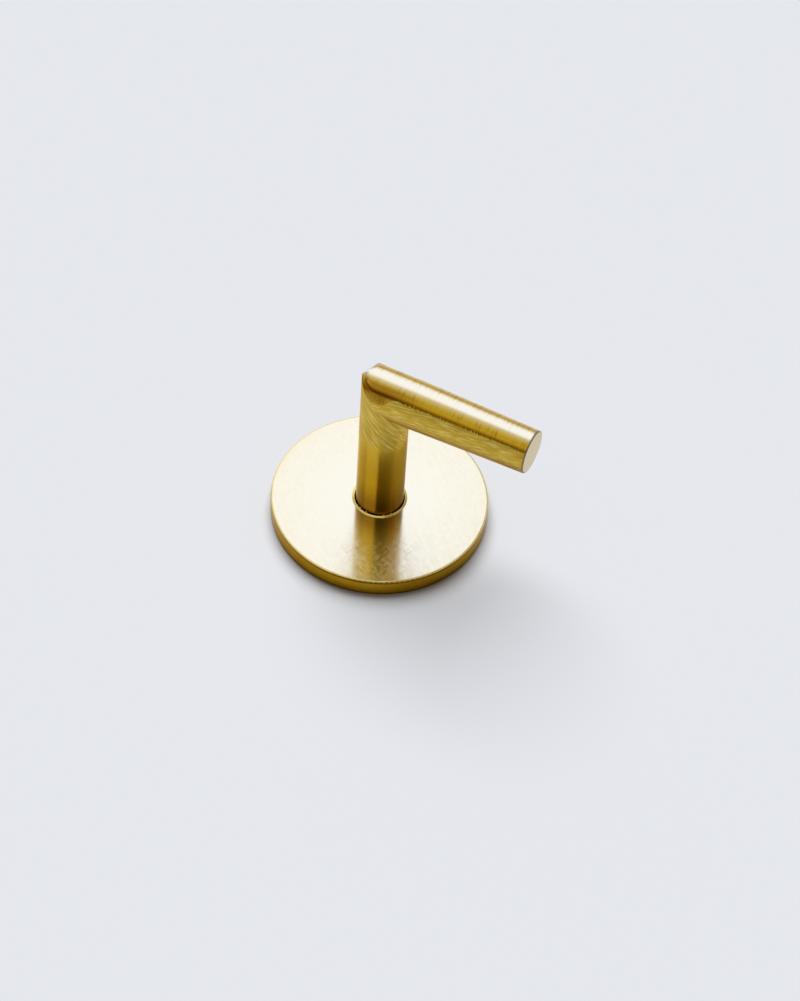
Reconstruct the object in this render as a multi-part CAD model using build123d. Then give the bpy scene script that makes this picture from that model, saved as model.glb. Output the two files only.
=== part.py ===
from build123d import *
from math import sqrt
import os

os.makedirs("parts", exist_ok=True)

# Driving sizes in millimetres. The back of the plate lies on z = 0, the post stands along +Z
# and the arm points along +X.

# Plate
plate_diameter = 54.0
plate_thickness = 4.9
plate_front_radius = 0.4
plate_back_chamfer = 0.3

# Round bar that the post and the arm are cut from
bar_diameter = 12.0
arm_axis_height = 43.8
arm_reach = 38.7
arm_tip_diameter = 10.84
arm_tip_radius = 0.3
taper_start = 6.4
taper_blend = 4.0

# Outside of the mitre, rubbed round on a belt that leans, so that it takes more off one side.
# The depth is how far it goes in from the sharp corner, and the lean is in degrees.
corner_radius = 3.6
corner_depth = 1.1
corner_lean = 17.0

# Seat of the post in the plate
seat_depth = 2.4
seat_clearance = 0.3
lip_width = 0.5
lip_height = 0.2
lip_crest = 0.06
spigot_diameter = 9.0
spigot_press = 0.0
foot_chamfer = 0.25

# Tapped hole for the wall stud, at the tapping drill's size for M6
stud_hole_diameter = 5.0
stud_hole_depth = 15.0

# Sizes that follow from the ones above
bar_radius = bar_diameter / 2
tip_radius = arm_tip_diameter / 2
plate_radius = plate_diameter / 2
seat_level = plate_thickness - seat_depth
seat_radius = bar_radius + seat_clearance
bore_diameter = spigot_diameter - spigot_press
post_bar_length = arm_axis_height + bar_diameter - seat_level
mitre_plane = Plane(origin=(0, 0, arm_axis_height), x_dir=(0, 1, 0), z_dir=(1, 0, 1))

# Plate: turned disc with a seat for the post, a bore for its spigot and a thin lip round the seat
disc = extrude(Circle(plate_radius), plate_thickness)
disc = fillet(disc.edges().group_by(Axis.Z)[-1], plate_front_radius)
disc = chamfer(disc.edges().group_by(Axis.Z)[0], plate_back_chamfer)
lip = Cone(seat_radius + lip_width, seat_radius + lip_crest, lip_height)
plate = disc + Pos(0, 0, plate_thickness + lip_height / 2) * lip
plate -= Pos(0, 0, seat_level) * extrude(Circle(seat_radius), seat_depth + lip_height)
plate -= extrude(Circle(bore_diameter / 2), seat_level)

# Corner waste: what the belt takes off the outside of the mitre, the same for both bars
corner = (-bar_radius, 0, arm_axis_height + bar_radius)
belt_inset = (corner_radius + corner_depth) / sqrt(2)
belt_centre = Pos(corner) * Pos(belt_inset, 0, -belt_inset)
block = Box(2 * corner_radius, 2 * bar_diameter, 2 * corner_radius)
waste = belt_centre * Pos(-corner_radius, 0, corner_radius) * block
waste -= belt_centre * Rot(90, 0, 0) * Cylinder(corner_radius, 3 * bar_diameter)
waste = waste.rotate(Axis(corner, (1, 0, 1)), -corner_lean)

# Post: bar cut square at the foot and on the mitre plane at the top, with a spigot and a tapped hole
post_bar = Pos(0, 0, seat_level) * extrude(Circle(bar_radius), post_bar_length)
post_bar = chamfer(post_bar.edges().group_by(Axis.Z)[0], foot_chamfer)
post = split(post_bar, bisect_by=mitre_plane, keep=Keep.BOTTOM) - waste
post += extrude(Circle(spigot_diameter / 2), seat_level)
post -= extrude(Circle(stud_hole_diameter / 2), stud_hole_depth)

# Arm: bar with a straight taper, which a short curve leads into, to a flat end with its edge broken.
# It is cut on the mitre plane at the post.
overshoot = (-bar_diameter, bar_radius)
parallel_end = (taper_start, bar_radius)
slope = (bar_radius - tip_radius) / (arm_reach - taper_start - taper_blend / 2)
blend_end = (taper_start + taper_blend, bar_radius - slope * taper_blend / 2)
tip = (arm_reach, tip_radius)
outline = [
    Line((-bar_diameter, 0), overshoot),
    Line(overshoot, parallel_end),
    TangentArc(parallel_end, blend_end, tangent=(1, 0)),
    Line(blend_end, tip),
    Line(tip, (arm_reach, 0)),
    Line((arm_reach, 0), (-bar_diameter, 0)),
]
arm_bar = Pos(0, 0, arm_axis_height) * revolve(make_face(outline), Axis.X, 360)
arm_bar = fillet(arm_bar.edges().group_by(Axis.X)[-1], arm_tip_radius)
arm = split(arm_bar, bisect_by=mitre_plane, keep=Keep.TOP) - waste

for name, shape in (("backplate", plate), ("post", post), ("arm", arm)):
    export_step(shape, f"parts/{name}.step")
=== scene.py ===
"""Curtain tieback hook in brushed brass: finishes, floor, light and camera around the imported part."""

import math

import bpy
from mathutils import Matrix, Vector


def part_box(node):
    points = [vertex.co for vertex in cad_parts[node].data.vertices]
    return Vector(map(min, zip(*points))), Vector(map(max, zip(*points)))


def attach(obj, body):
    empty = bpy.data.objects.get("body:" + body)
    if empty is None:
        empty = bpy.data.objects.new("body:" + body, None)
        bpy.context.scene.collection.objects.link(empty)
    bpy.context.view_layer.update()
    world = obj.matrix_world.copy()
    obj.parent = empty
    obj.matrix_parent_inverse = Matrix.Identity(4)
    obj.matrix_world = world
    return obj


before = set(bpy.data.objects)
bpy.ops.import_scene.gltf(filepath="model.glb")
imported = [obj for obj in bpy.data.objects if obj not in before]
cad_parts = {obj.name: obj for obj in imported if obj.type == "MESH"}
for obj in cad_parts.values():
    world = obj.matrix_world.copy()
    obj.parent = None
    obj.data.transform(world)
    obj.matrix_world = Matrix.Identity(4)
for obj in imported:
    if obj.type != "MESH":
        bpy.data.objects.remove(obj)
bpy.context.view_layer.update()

scene = bpy.context.scene
scene.view_settings.view_transform = "Standard"

# A metre in millimetres
metre = 1000.0


def highest(node):
    """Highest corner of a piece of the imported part, in millimetres."""
    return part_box(node)[1] * metre


# Sizes of the hook in millimetres: first those that the pieces' boxes do not show
lip_height = 0.2
lip_spread = 0.8
arm_tip_radius = 5.42
arm_tip_edge = 0.3
corner_round = 3.0
plate_radius = highest("backplate").x
plate_top = highest("backplate").z - lip_height
bar_radius = highest("post").y
lip_radius = bar_radius + lip_spread
arm_axis = highest("arm").z - bar_radius
arm_reach = highest("arm").x

# Where the photograph was taken from, seen from the middle of the plate's back: two angles, and metres
camera_turn = math.radians(24.3217)
camera_rise = math.radians(50.4199)
camera_away = 0.81120

# How the camera is turned from there, and its lens in millimetres
camera_pan = math.radians(0.3604)
camera_tilt = math.radians(0.1799)
camera_roll = math.radians(3.4884)
lens_length = 117.147

# Brass in its finishes, and tints that paint highlights and shade onto it
gold = (0.70, 0.465, 0.045, 1.0)
deep_gold = (0.60, 0.33, 0.007, 1.0)
# Deeper tones for the plate's rim, darkened as painted shade
rim_gold = (0.62, 0.40, 0.020, 1.0)
rim_shade = (0.42, 0.22, 0.004, 1.0)
# Brown laid on as painted shade: the plate's foot, under its edge and in the seat, the post's foot, and dark
# bands on the arm
painted_shade_brown = (0.17, 0.038, 0.003, 1.0)
# Near white for the plate's face, so that the lamp's reflection in it reads white: a painted highlight
face_highlight_pale = (0.94, 0.99, 1.0, 1.0)
brushed_gold = (0.84, 0.55, 0.05, 1.0)
# Pale cream for a painted highlight along the top of the arm, also laid on the face near the post
painted_highlight_pale = (0.83, 0.81, 0.72, 1.0)
linished_gold = (0.80, 0.615, 0.15, 1.0)
linished_shade = (0.53, 0.34, 0.032, 1.0)
# Pale gold for painted highlights: the plate's edge, the crest of the lip and the slivers
painted_highlight_gold = (0.92, 0.80, 0.40, 1.0)
# Dark brown for a line along the rounded edge of the arm's sawn end
end_edge_dark = (0.20, 0.15, 0.08, 1.0)
sawn_end = (0.69, 0.555, 0.28, 1.0)

# Tints of the brass seen at a glancing angle
plate_glance = (1.0, 0.90, 0.62, 1.0)
post_glance = (1.0, 0.92, 0.66, 1.0)

# Surroundings
floor_paper = (0.795, 0.815, 0.865, 1.0)
room_light = (0.99, 0.99, 0.98, 1.0)


class Value:
    """What one socket gives. Arithmetic on numbers adds Math nodes."""

    def __init__(self, finish, socket):
        self.finish = finish
        self.socket = socket

    def math(self, operation, *others):
        return self.finish.node("ShaderNodeMath", {"operation": operation}, [self, *others])

    def math_after(self, operation, number):
        """The same with a number in front of the value."""
        return self.finish.node("ShaderNodeMath", {"operation": operation}, [number, self])

    def __add__(self, other):
        return self.math("ADD", other)

    def __sub__(self, other):
        return self.math("SUBTRACT", other)

    def __rsub__(self, number):
        return self.math_after("SUBTRACT", number)

    def __mul__(self, other):
        return self.math("MULTIPLY", other)

    def __truediv__(self, other):
        return self.math("DIVIDE", other)

    def __rtruediv__(self, number):
        return self.math_after("DIVIDE", number)

    def __pow__(self, power):
        return self.math("POWER", power)

    def __neg__(self):
        return self.math("MULTIPLY", -1.0)

    __radd__ = __add__
    __rmul__ = __mul__

    def at_least(self, low):
        return self.math("MAXIMUM", low)

    def at_most(self, high):
        return self.math("MINIMUM", high)

    def between(self, low, high):
        """Goes smoothly from 0 at low to 1 at high."""
        settings = {"interpolation_type": "SMOOTHSTEP"}
        return self.finish.node("ShaderNodeMapRange", settings, {0: self, 1: low, 2: high})

    def band(self, start, full, fading, end):
        """Goes smoothly from 0 at start to 1 at full, and from 1 at fading back to 0 at end."""
        return self.between(start, full) * self.between(end, fading)


class Finish:
    """The nodes of one material, or of the light around the hook."""

    def __init__(self, owner):
        owner.use_nodes = True
        self.tree = owner.node_tree
        self.tree.nodes.clear()

    def node(self, kind, settings=None, sockets=(), out=0):
        """Adds a node of that type, sets it up, and returns what one of its sockets gives, or several."""
        made = self.tree.nodes.new(kind)
        for name, setting in (settings or {}).items():
            setattr(made, name, setting)
        given = sockets.items() if isinstance(sockets, dict) else enumerate(sockets)
        for key, value in given:
            if isinstance(value, Value):
                self.tree.links.new(value.socket, made.inputs[key])
            else:
                made.inputs[key].default_value = value
        if not made.outputs:
            return None
        if isinstance(out, tuple):
            return [Value(self, made.outputs[name]) for name in out]
        return Value(self, made.outputs[out])

    def place(self):
        """Where a point of the hook is, in millimetres."""
        point = self.node("ShaderNodeTexCoord", out="Object")
        point = self.node("ShaderNodeVectorMath", {"operation": "SCALE"}, {0: point, "Scale": metre})
        return self.node("ShaderNodeSeparateXYZ", None, [point], ("X", "Y", "Z"))

    def facing(self):
        """Which way the surface faces."""
        return self.node("ShaderNodeTexCoord", out="Normal")

    def grain(self, x, y, z, detail=2.0, roughness=0.5):
        """Noise from 0 to 1, about one step across in each of its three directions."""
        point = self.node("ShaderNodeCombineXYZ", None, [x, y, z])
        sockets = {"Vector": point, "Scale": 1.0, "Detail": detail, "Roughness": roughness}
        return self.node("ShaderNodeTexNoise", None, sockets, "Fac")

    def turned(self, along, first, second, fine, slow, detail=2.0, roughness=0.6):
        """Marks round a turned piece, from 0 to 1, in steps per millimetre along its axis and across it."""
        return self.grain(along * fine, first * slow, second * slow, detail, roughness)

    def scratches(self, x, y, angle, length, pitch, seed, detail=2.0):
        """Brush marks at an angle on a flat or unrolled surface, from 0 to 1, most of them near 0.5."""
        cos = math.cos(math.radians(angle))
        sin = math.sin(math.radians(angle))
        along = x * (cos / length) + y * (sin / length)
        across = y * (cos / pitch) - x * (sin / pitch)
        return self.grain(along, across, seed, detail, roughness=0.6)

    def tint(self, amount, first, second):
        """A colour between two others."""
        settings = {"data_type": "RGBA"}
        return self.node("ShaderNodeMix", settings, {0: amount, 6: first, 7: second}, 2)

    def blend(self, amount, first, second):
        """A direction between two others."""
        mixed = self.node("ShaderNodeMix", {"data_type": "VECTOR"}, {0: amount, 4: first, 5: second}, 1)
        return self.node("ShaderNodeVectorMath", {"operation": "NORMALIZE"}, [mixed])

    def rubbed_corner(self, x, y, lift):
        """Which way the surface faces where the outside of the mitre is rubbed round, and where that is."""
        on_axis = 0.01
        fade = 0.5
        post_radius = (x * x + y * y).at_least(on_axis) ** 0.5
        arm_radius = (y * y + lift * lift).at_least(on_axis) ** 0.5
        off_post = self.node("ShaderNodeCombineXYZ", None, [x / post_radius, y / post_radius, 0.0])
        off_arm = self.node("ShaderNodeCombineXYZ", None, [0.0, y / arm_radius, lift / arm_radius])
        past_mitre = x + lift
        facing = self.blend(past_mitre.between(-corner_round, corner_round), off_post, off_arm)
        near = past_mitre.band(-corner_round - fade, -corner_round, corner_round, corner_round + fade)
        outside = (lift - x).between(1.0, 6.0)
        return facing, outside * near

    def marks(self, height, depth, facing=None):
        """The surface's direction with its marks, whose depth is in millimetres."""
        sockets = {"Strength": 1.0, "Distance": depth / metre, "Height": height}
        if facing:
            sockets["Normal"] = facing
        return self.node("ShaderNodeBump", None, sockets)

    def brass(self, colour, roughness, normal, settings=None):
        sockets = {"Base Color": colour, "Metallic": 1.0, "Roughness": roughness, "Normal": normal}
        sockets.update(settings or {})
        return self.node("ShaderNodeBsdfPrincipled", None, sockets)

    def finished(self, surface):
        self.node("ShaderNodeOutputMaterial", None, [surface])


def plate_finish():
    """Face painted near white for its highlight, under crossed brush strokes, with a turned rim, a painted
    bright edge and a lip round the post.
    """
    material = bpy.data.materials.new("plate_brass")
    finish = Finish(material)
    x, y, z = finish.place()
    radius = (x * x + y * y) ** 0.5
    below = plate_top - z
    inset = plate_radius - radius
    past_lip = radius - lip_radius
    outward = radius.between(7.0, 24.0)

    edge_depth = 0.30
    lip_border = 0.12
    flat = below.between(edge_depth, 0.02) * inset.between(-0.2, 0.5)
    face = flat * past_lip.between(0.0, lip_border)
    lip = flat * past_lip.between(lip_border, 0.0)
    crest = past_lip.between(-0.28, -0.38)
    gap = past_lip.between(-0.45, -0.49)
    edge = below.between(edge_depth, 0.10) * inset.between(0.6, 0.3)

    def strokes(angle, seed):
        """The deeper strokes of a brush that crossed the face at one angle."""
        return finish.scratches(x, y, angle, length=3.2, pitch=0.21, seed=seed).between(0.54, 0.64)

    hatch = strokes(74.0, seed=3.0).at_least(strokes(-26.0, seed=17.0)) * radius.between(8.0, 19.0)
    sweep = finish.scratches(x, y, angle=-44.0, length=14.0, pitch=0.9, seed=31.0)
    turning = finish.turned(z, x, y, fine=3.0, slow=0.06)
    cloud = finish.grain(x * 0.10, y * 0.10, z * 0.10)
    normal = finish.marks(face * hatch + (1 - face) * turning * 1.4, depth=0.0025)

    # The rim's two tones vary at random with the turning; both are deepened as painted shade for the
    # shadowed floor the rim reflects
    colour = finish.tint((cloud - 0.34) + (turning - 0.5) * 0.9, rim_shade, rim_gold)
    # Painted shade: darker at the rim's foot by the floor, and a dark line under the rounded top edge
    foot_painted_shade = z.between(1.6, 0.2) * 0.55
    edge_painted_shade = below.band(0.24, 0.38, 0.60, 0.90) * 0.9
    colour = finish.tint(foot_painted_shade + edge_painted_shade, colour, painted_shade_brown)
    # Painted highlight: the face is tinted near white
    colour = finish.tint(face, colour, face_highlight_pale)
    # The face turns creamier towards the post, within its painted highlight
    colour = finish.tint(face * (1 - outward) * 0.6, colour, painted_highlight_pale)
    colour = finish.tint(lip, colour, linished_gold)
    # Painted highlight: a bright line on the plate's rounded edge and on the crest of the lip
    colour = finish.tint(edge.at_least(lip * crest), colour, painted_highlight_gold)
    # Random streaks and blotches of tone, and a yellower tint towards the rim that is a painted reflection
    tone_shift = (sweep - 0.5) * 0.20 + (cloud - 0.5) * 0.12 + inset.between(5.0, 0.0) * 0.06
    colour = finish.tint(face * tone_shift, colour, linished_gold)
    # Painted shade: the seat's wall round the post is tinted brown where the gap lies in shade
    colour = finish.tint(gap * 0.35, colour, painted_shade_brown)

    roughness = 0.12 + face * hatch * 0.15 + (1 - face) * 0.11 + gap * 0.3
    polish = finish.brass(colour, roughness, normal, {"Specular Tint": plate_glance})
    brush = finish.brass(brushed_gold, 0.50, normal)
    brush_share = face * (0.11 + outward * 0.18 + hatch * 0.03)
    finish.finished(finish.node("ShaderNodeMixShader", None, [brush_share, polish, brush]))
    return material


def post_finish():
    """Bar brushed round its girth and darkened towards its foot with painted shade, linished on a slant
    below the mitre.
    """
    material = bpy.data.materials.new("post_brass")
    finish = Finish(material)
    x, y, z = finish.place()
    around = y.math("ARCTAN2", x) * bar_radius
    belt = finish.scratches(around, z, angle=-52.0, length=6.0, pitch=0.50, seed=5.0, detail=3.0)
    arcs = finish.scratches(around, z, angle=-24.0, length=8.0, pitch=0.8, seed=8.0)
    rings = finish.turned(z, x, y, fine=2.2, slow=0.12, detail=3.0)
    cloud = finish.grain(x * 0.15, y * 0.15, z * 0.10)

    ragged = (belt - 0.5) * 6.0
    upper = (z + ragged).between(28.0, 32.0)
    corner_facing, corner = finish.rubbed_corner(x, y, z - arm_axis)
    facing = finish.blend(corner, finish.facing(), corner_facing)
    brushed = rings * 0.2 + arcs * 0.2
    normal = finish.marks(upper * belt + (1 - upper) * brushed, depth=0.012, facing=facing)

    # Painted shade: the post deepens to dark gold from the linished zone downwards and turns brown near the
    # plate
    lower = z.between(34.0, plate_top + 5.0)
    foot = z.between(17.0, plate_top)
    tone_shift = (cloud - 0.5) * 0.8 + (rings - 0.5) * 0.8 + (arcs - 0.5) * 0.8
    colour = finish.tint(lower, gold, deep_gold)
    colour = finish.tint(foot * 0.8, colour, painted_shade_brown)
    colour = finish.tint(tone_shift, colour, deep_gold)
    linished = finish.tint((belt - 0.42) * 4.4, linished_shade, linished_gold)
    colour = finish.tint(upper, colour, linished)

    roughness = 0.16 + upper * 0.17 + (cloud - 0.5) * 0.04
    drawn = {"Anisotropic": 0.80, "Anisotropic Rotation": 0.25, "Specular Tint": post_glance}
    finish.finished(finish.brass(colour, roughness, normal, drawn))
    return material


def arm_finish():
    """Bar brushed round its girth with a painted highlight along its top and bands of painted shade,
    linished lengthways below, with a sawn end.

    Angles go round the arm in degrees, from 0 at its front to 90 at its top.
    """
    material = bpy.data.materials.new("arm_brass")
    finish = Finish(material)
    x, y, z = finish.place()
    lift = z - arm_axis
    radius = (y * y + lift * lift) ** 0.5
    angle = lift.math("ARCTAN2", -y) * math.degrees(1.0)
    around = angle * math.radians(bar_radius)
    from_end = arm_reach - x
    rings = finish.turned(x, y, lift, fine=1.4, slow=0.16, detail=3.0, roughness=0.7)
    ticks = finish.turned(x, y, lift, fine=2.6, slow=0.25)
    belt = finish.scratches(x, around, angle=4.0, length=4.0, pitch=0.36, seed=12.0, detail=3.0)
    cloud = finish.grain(x * 0.10, y * 0.15, lift * 0.15)

    # The linished underside ends at a border that is low at the mitre and ragged along the arm
    mitre_border = 17.0
    arm_border = 41.0
    ragged = x.between(2.0, 8.0) * (ticks - 0.5) * 36.0
    climb = x.between(1.2, 4.6) * (arm_border - mitre_border + ragged)
    over_corner = (x + 1.0).at_most(0.0) * 5.0
    border = mitre_border + climb + (cloud - 0.5) * 6.0 - over_corner
    end = from_end.between(0.25, 0.05)
    under = (angle - border).between(2.5, -2.5) * (1 - end)

    corner_facing, corner = finish.rubbed_corner(x, y, lift)
    facing = finish.blend(corner, finish.facing(), corner_facing)
    facing = finish.blend(end, facing, (1.0, 0.0, 0.0))
    linished_marks = belt + ticks * 0.3
    normal = finish.marks((1 - under) * rings * 0.8 + under * linished_marks, depth=0.012, facing=facing)

    # Painted shade: a dark shoulder and line on the front of the arm
    shoulder = angle.band(36.0, 46.0, 49.0, 61.0)
    front_line = angle.band(34.0, 46.0, 48.0, 60.0)
    # Painted shade: darker by the elbow and along the front of the mitre's seam
    elbow = x.between(14.0, 3.0) * angle.band(34.0, 46.0, 58.0, 72.0)
    seam = x.between(6.0, 1.0) * angle.between(50.0, 44.0)
    # Painted shade: a dark line along the back of the arm
    back_line = angle.band(104.0, 112.0, 114.0, 122.0)
    # Painted highlight: a pale band along the arm's top, ragged with the rings
    streaked = angle + (rings - 0.5) * 9.0
    highlight_band = streaked.band(64.0, 86.0, 94.0, 116.0) * (1 - (rings - 0.5) * 0.5)
    # Ring marks, painted shade and the painted highlight laid over the gold in turn
    colour = finish.tint(shoulder, gold, deep_gold)
    colour = finish.tint((rings - 0.5) * 3.4 + (cloud - 0.5) * 0.4, colour, deep_gold)
    colour = finish.tint((rings - 0.53) * 4.0, colour, rim_shade)
    colour = finish.tint(front_line * 0.40, colour, painted_shade_brown)
    colour = finish.tint(elbow * 0.46, colour, painted_shade_brown)
    colour = finish.tint(seam * 0.55, colour, painted_shade_brown)
    colour = finish.tint(back_line * 0.5, colour, deep_gold)
    colour = finish.tint(highlight_band, colour, painted_highlight_pale)

    # Painted shade: a darker band low on the front of the linished underside
    dip = angle.band(12.0, 19.0, 21.0, 28.0)
    linished = finish.tint((belt - 0.44) * 4.6 - dip * 0.3, linished_shade, linished_gold)
    # Painted shade: the underside is tinted darker towards its bottom
    linished = finish.tint(angle.between(-6.0, -14.0) * 0.75, linished, deep_gold)
    linished = finish.tint(angle.between(-12.0, -20.0) * 0.5, linished, rim_shade)
    colour = finish.tint(under, colour, linished)
    colour = finish.tint(end, colour, sawn_end)
    sawn_radius = arm_tip_radius - arm_tip_edge
    # Darker along the rounded edge of the sawn end
    end_edge = radius.between(sawn_radius - 0.15, sawn_radius) * from_end.between(0.5, 0.3)
    colour = finish.tint(end_edge * 0.8, colour, end_edge_dark)

    roughness = 0.13 + under * 0.22 + (rings - 0.5) * 0.12 + end * 0.12
    finish.finished(finish.brass(colour, roughness, normal))
    return material


def burr_finish():
    material = bpy.data.materials.new("burr_brass")
    finish = Finish(material)
    x, y, z = finish.place()
    speck = finish.grain(x * 3.0, y * 3.0, z * 3.0)
    # The slivers are tinted pale gold as a painted highlight, so that they read bright
    colour = finish.tint(speck, painted_highlight_gold, linished_gold)
    finish.finished(finish.brass(colour, 0.35 + speck * 0.2, finish.marks(speck, depth=0.01)))
    return material


def floor_finish():
    material = bpy.data.materials.new("floor_paper")
    finish = Finish(material)
    sockets = {"Base Color": floor_paper, "Roughness": 0.9, "Specular IOR Level": 0.0}
    finish.finished(finish.node("ShaderNodeBsdfPrincipled", None, sockets))
    return material


def new_piece(name, points, faces, material):
    """A mesh object from its points in metres."""
    mesh = bpy.data.meshes.new(name)
    mesh.from_pydata(points, [], faces)
    mesh.materials.append(material)
    piece = bpy.data.objects.new(name, mesh)
    scene.collection.objects.link(piece)
    return piece


def seat_burrs():
    """Slivers of brass that the post left on the lip when it was pressed in."""
    # Each sliver's angle from the arm and its width, in degrees, and its size as a share of the largest
    slivers = [(-124, 7, 0.5), (-115, 9, 0.9), (-106, 6, 0.6), (-97, 9, 1.0), (-88, 5, 0.5)]
    slivers += [(-53, 9, 0.9), (-44, 6, 0.5), (-36, 8, 1.0), (-28, 5, 0.7), (-21, 6, 0.5)]

    # A sliver's outline: shares of its width, and of how far it reaches in from the crest
    outline = [(-0.5, 0.0), (-0.2, -0.5), (0.25, -0.4), (0.5, 0.0), (0.25, 0.75), (-0.2, 1.0)]
    crest = lip_radius - 0.44
    longest_reach = 0.28
    foot = plate_top + 0.05
    least_height = 0.15
    most_tilt = 0.5

    # Each sliver is highest at the end that is nearer to this angle
    middle_front = -66.0
    points = []
    faces = []
    for middle, width, size in slivers:
        first = len(points)
        for rise in (0.0, 1.0):
            for step, reach in outline:
                angle = math.radians(middle + width * step)
                radius = crest - longest_reach * size * reach
                tilt = 0.5 - step if middle > middle_front else 0.5 + step
                level = foot + rise * (least_height + most_tilt * size * tilt)
                place = (radius * math.cos(angle), radius * math.sin(angle), level)
                points.append([length / metre for length in place])
        count = len(outline)
        faces.append([first + corner for corner in range(count)][::-1])
        faces.append([first + count + corner for corner in range(count)])
        for corner in range(count):
            after = (corner + 1) % count
            faces.append((first + corner, first + after, first + count + after, first + count + corner))
    burrs = new_piece("seat_burrs", points, faces, burr_finish())
    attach(burrs, "root")


def floor():
    half = 3.0
    corners = [(-half, -half, 0.0), (half, -half, 0.0), (half, half, 0.0), (-half, half, 0.0)]
    sheet = new_piece("floor", corners, [(0, 1, 2, 3)], floor_finish())


def studio_room():
    """A large soft lamp behind and above the hook, and a pale room that is dim in front of it."""
    world = bpy.data.worlds.new("studio")
    scene.world = world
    finish = Finish(world)
    way = finish.node("ShaderNodeTexCoord", out="Generated")
    x, y, up = finish.node("ShaderNodeSeparateXYZ", None, [way], ("X", "Y", "Z"))
    cos = math.cos(camera_turn)
    sin = math.sin(camera_turn)
    tiny = 0.01
    back = y * cos - x * sin
    left = -(x * cos + y * sin)

    lamp_rise = math.radians(50.0)
    ahead = (back * math.cos(lamp_rise) + up * math.sin(lamp_rise)).at_least(tiny)
    higher = (up * math.cos(lamp_rise) - back * math.sin(lamp_rise)) / ahead
    aside = left / ahead
    lamp = ahead.between(0.3, 0.5) * higher.band(-1.0, -0.36, 0.28, 0.60)
    lamp = lamp * aside.band(-0.32, -0.14, 0.22, 0.62)
    low_back = up.band(-0.05, 0.05, 0.55, 0.72) * back.between(0.1, 0.3)
    beside = left / back.at_least(tiny)
    lamp = lamp.at_least(low_back * beside.band(0.15, 0.35, 0.8, 1.1))

    ceiling_start = 0.56
    ceiling = ((up - ceiling_start).at_least(0.0) / (1.0 - ceiling_start)) ** 1.6
    walls = up.between(0.55, 0.44)
    left_wall = up.between(0.25, 0.55) * back.between(-0.3, 0.3) * left.between(0.05, 0.4)
    turn = left / (-back).at_least(tiny)
    front_left = turn.between(0.31, 0.40) * up.band(0.62, 0.74, 0.80, 0.90) * back.between(-0.05, -0.2)
    room = 0.25 + ceiling * 0.50 + walls * 0.40 + left_wall * 0.28 + front_left * 0.48
    dim = turn.band(-2.4, -0.1, 0.26, 0.31) * up.band(0.54, 0.66, 0.86, 0.92) * back.between(-0.05, -0.15)
    room = room * (1 - dim * 0.86)

    # The floor takes only a part of this light, and the floor lamp gives the rest
    lamp_level = 1.16
    kept_off_floor = 0.74
    level = room * (1 - lamp) + lamp * lamp_level
    on_floor = finish.node("ShaderNodeLightPath", out="Is Diffuse Ray")
    level = level * (1 - on_floor * kept_off_floor)
    light = finish.node("ShaderNodeBackground", None, {"Color": room_light, "Strength": level})
    finish.node("ShaderNodeOutputWorld", None, [light])


def floor_lamp():
    """A soft lamp from behind that lights the floor, and that the brass does not reflect."""
    lamp = bpy.data.lights.new("floor_lamp", "SUN")
    lamp.energy = 2.98
    lamp.angle = math.radians(50.0)
    stand = bpy.data.objects.new("floor_lamp", lamp)
    stand.visible_glossy = False
    scene.collection.objects.link(stand)
    cos = math.cos(camera_turn)
    sin = math.sin(camera_turn)
    back = 0.50
    left = 0.07
    up = 0.855
    way = Vector((-sin * back - cos * left, cos * back - sin * left, up))
    stand.rotation_euler = way.to_track_quat("Z", "Y").to_euler()


def photograph_camera():
    camera = bpy.data.cameras.new("camera")
    camera.sensor_fit = "VERTICAL"
    camera.sensor_height = 36.0
    camera.lens = lens_length
    camera.clip_start = 0.01
    camera.clip_end = 20.0
    eye = bpy.data.objects.new("camera", camera)
    scene.collection.objects.link(eye)
    look = Matrix.Rotation(camera_turn, 3, "Z") @ Matrix.Rotation(math.pi / 2 - camera_rise, 3, "X")
    look = look @ Matrix.Rotation(-camera_pan, 3, "Y")
    look = look @ Matrix.Rotation(camera_tilt, 3, "X")
    look = look @ Matrix.Rotation(camera_roll, 3, "Z")
    across = math.cos(camera_rise)
    spot = Vector((math.sin(camera_turn) * across, -math.cos(camera_turn) * across, math.sin(camera_rise)))
    eye.matrix_world = Matrix.Translation(spot * camera_away) @ look.to_4x4()
    scene.camera = eye


for name, finish_of in (("backplate", plate_finish), ("post", post_finish), ("arm", arm_finish)):
    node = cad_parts[name]
    node.data.materials.clear()
    node.data.materials.append(finish_of())

seat_burrs()
floor()
studio_room()
floor_lamp()
photograph_camera()
